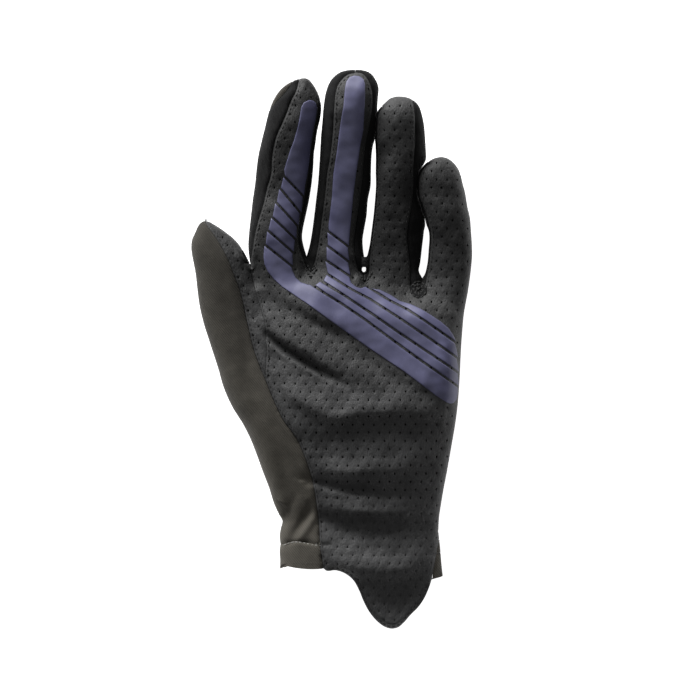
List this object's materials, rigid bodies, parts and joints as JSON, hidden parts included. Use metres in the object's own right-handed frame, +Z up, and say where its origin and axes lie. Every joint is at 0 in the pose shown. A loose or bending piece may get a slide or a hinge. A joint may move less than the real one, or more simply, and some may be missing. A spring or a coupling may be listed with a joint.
{
  "type": "cycling glove",
  "caption": "Left-hand full-finger cycling glove with a perforated palm, diagonal grip bars, side gussets, a hemmed slip-on cuff and a wrist pull tab.",
  "frame": {"origin": "on the surface under the middle of the glove's plan, which lies palm up", "axes": "+X from the thumb to the little finger, +Y from the cuff to the fingertips, +Z up out of the palm"},
  "size_m": [0.1182, 0.2336, 0.0278],
  "materials": {
    "palm_leather": "matte",
    "side_knit": "matte",
    "back_cloth": "matte",
    "grip_print": "satin"
  },
  "bodies": {
    "root": {"palm_panel": "palm_leather", "thumb_palm_panel": "palm_leather", "thumb_side_panel": "back_cloth", "back_panel": "back_cloth", "cuff_hem": "back_cloth", "index_outer_gusset": "side_knit", "index_middle_fourchette": "side_knit", "middle_ring_fourchette": "side_knit", "ring_little_fourchette": "side_knit", "index_grip_pad": "grip_print", "index_grip_bar_1": "grip_print", "index_grip_bar_2": "grip_print", "index_grip_bar_3": "grip_print", "index_grip_bar_4": "grip_print", "index_grip_bar_5": "grip_print", "middle_grip_pad": "grip_print", "middle_grip_bar_1": "grip_print", "middle_grip_bar_2": "grip_print", "palm_grip_band": "grip_print", "palm_grip_stripe_1": "grip_print", "palm_grip_stripe_2": "grip_print", "palm_grip_stripe_3": "grip_print", "palm_grip_stripe_4": "grip_print"}
  },
  "joints": []
}
